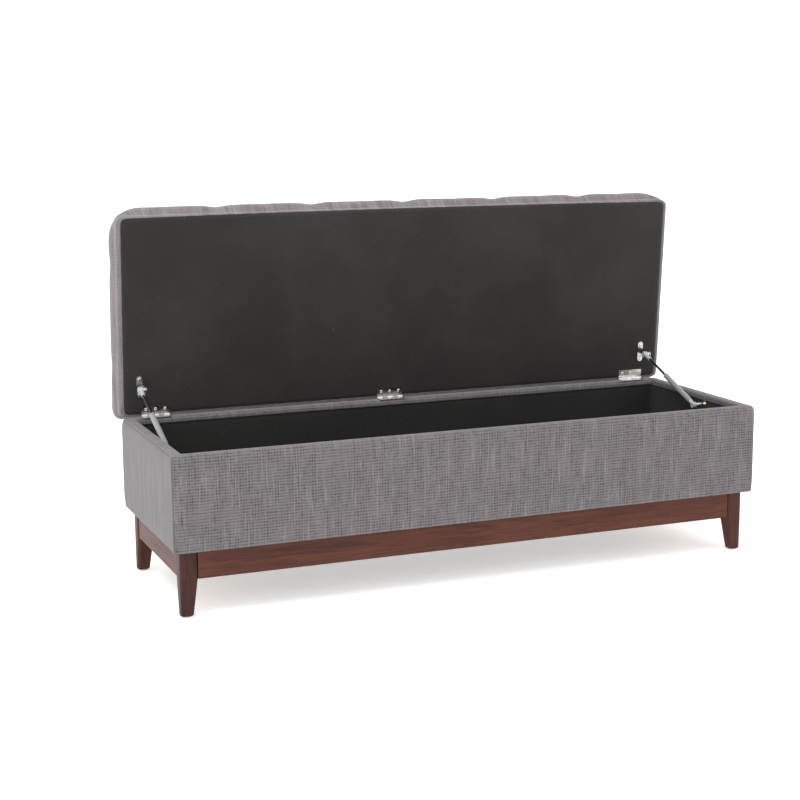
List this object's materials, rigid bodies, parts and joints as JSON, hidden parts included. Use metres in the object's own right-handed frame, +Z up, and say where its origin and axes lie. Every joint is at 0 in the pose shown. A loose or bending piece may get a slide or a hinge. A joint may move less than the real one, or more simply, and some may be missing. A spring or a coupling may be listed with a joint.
{
  "type": "storage bench",
  "caption": "Long upholstered storage bench: tufted cushion lid hinged at the back with gas struts at both ends, fabric-covered box with black lining, dark wooden base on tapered legs.",
  "frame": {"origin": "on the floor, at the middle of the box round the whole bench with its lid open", "axes": "+X along the bench to the right seen from the front, -Y to the front, +Z up"},
  "size_m": [1.372, 0.511, 0.7975],
  "materials": {
    "upholstery_fabric": "woven, matt, mid grey",
    "lining_cloth": "black non-woven cloth, matt",
    "wadding_foam": "open-cell foam",
    "board": "bare plywood",
    "walnut_stain": "dark walnut stain under satin lacquer",
    "nickel_steel": "bright nickel plate",
    "zinc_steel": "yellow zinc plate",
    "tube_paint": "light grey paint, satin",
    "rod_steel": "black nitrided steel",
    "socket_plastic": "moulded grey plastic",
    "gland_plastic": "black nylon",
    "glide_plastic": "pale nylon"
  },
  "bodies": {
    "root": {"leg_front_left": "walnut_stain", "leg_front_right": "walnut_stain", "leg_rear_left": "walnut_stain", "leg_rear_right": "walnut_stain", "rail_front": "walnut_stain", "rail_rear": "walnut_stain", "rail_left": "walnut_stain", "rail_right": "walnut_stain", "rail_cleat_front": "board", "rail_cleat_rear": "board", "corner_braces": "board", "box_front_board": "board", "box_rear_board": "board", "box_left_board": "board", "box_right_board": "board", "box_floor_board": "board", "leg_glides": "glide_plastic", "corner_brace_bolts": "nickel_steel", "cleat_screws": "zinc_steel", "box_cover": "upholstery_fabric", "box_wall_lining": "lining_cloth", "box_floor_lining": "lining_cloth", "underside_dust_cover": "lining_cloth", "hinge_left_base_leaf": "nickel_steel", "hinge_left_pin": "nickel_steel", "hinge_middle_base_leaf": "nickel_steel", "hinge_middle_pin": "nickel_steel", "hinge_right_base_leaf": "nickel_steel", "hinge_right_pin": "nickel_steel", "hinge_base_screws": "nickel_steel", "wall_ball_studs": "nickel_steel", "wall_brackets": "zinc_steel", "wall_bracket_screws": "zinc_steel"},
    "lid": {"lid_board": "board", "lid_foam": "wadding_foam", "lid_cover": "upholstery_fabric", "lid_buttons": "upholstery_fabric", "lid_dust_cover": "lining_cloth", "hinge_left_lid_leaf": "nickel_steel", "hinge_middle_lid_leaf": "nickel_steel", "hinge_right_lid_leaf": "nickel_steel", "hinge_lid_screws": "nickel_steel", "lid_bracket_left": "nickel_steel", "lid_bracket_right": "nickel_steel", "lid_bracket_screws": "nickel_steel"},
    "strut_left_tube": {"strut_left_cylinder": "tube_paint", "strut_left_gland": "gland_plastic", "strut_left_lower_socket": "socket_plastic"},
    "strut_left_rod_end": {"strut_left_rod": "rod_steel", "strut_left_piston": "gland_plastic", "strut_left_upper_socket": "socket_plastic", "strut_left_lid_ball_stud": "nickel_steel"},
    "strut_right_tube": {"strut_right_cylinder": "tube_paint", "strut_right_gland": "gland_plastic", "strut_right_lower_socket": "socket_plastic"},
    "strut_right_rod_end": {"strut_right_rod": "rod_steel", "strut_right_piston": "gland_plastic", "strut_right_upper_socket": "socket_plastic", "strut_right_lid_ball_stud": "nickel_steel"}
  },
  "joints": [
    {"name": "lid_hinge", "type": "hinge", "parent": "root", "child": "lid", "pos_m": [0, 0.184, 0.34675], "axis": [1, 0, 0], "range_deg": [0, 86.6]},
    {"name": "strut_left_pivot", "type": "hinge", "parent": "root", "child": "strut_left_tube", "pos_m": [-0.6505, -0.0825, 0.321], "axis": [1, 0, 0], "range_deg": [-23.5, 0]},
    {"name": "strut_left_slide", "type": "slide", "parent": "strut_left_tube", "child": "strut_left_rod_end", "axis": [0, 0.9307, 0.3658], "range_m": [-0.04711, 0]},
    {"name": "strut_right_pivot", "type": "hinge", "parent": "root", "child": "strut_right_tube", "pos_m": [0.6315, -0.0825, 0.321], "axis": [1, 0, 0], "range_deg": [-23.5, 0]},
    {"name": "strut_right_slide", "type": "slide", "parent": "strut_right_tube", "child": "strut_right_rod_end", "axis": [0, 0.9307, 0.3658], "range_m": [-0.04711, 0]}
  ],
  "couplings": [
    {"joint": "strut_left_pivot", "follows": "lid_hinge", "ratio": -0.27075},
    {"joint": "strut_left_slide", "follows": "lid_hinge", "m_per_rad": -0.031137},
    {"joint": "strut_right_pivot", "follows": "lid_hinge", "ratio": -0.27075},
    {"joint": "strut_right_slide", "follows": "lid_hinge", "m_per_rad": -0.031137}
  ]
}
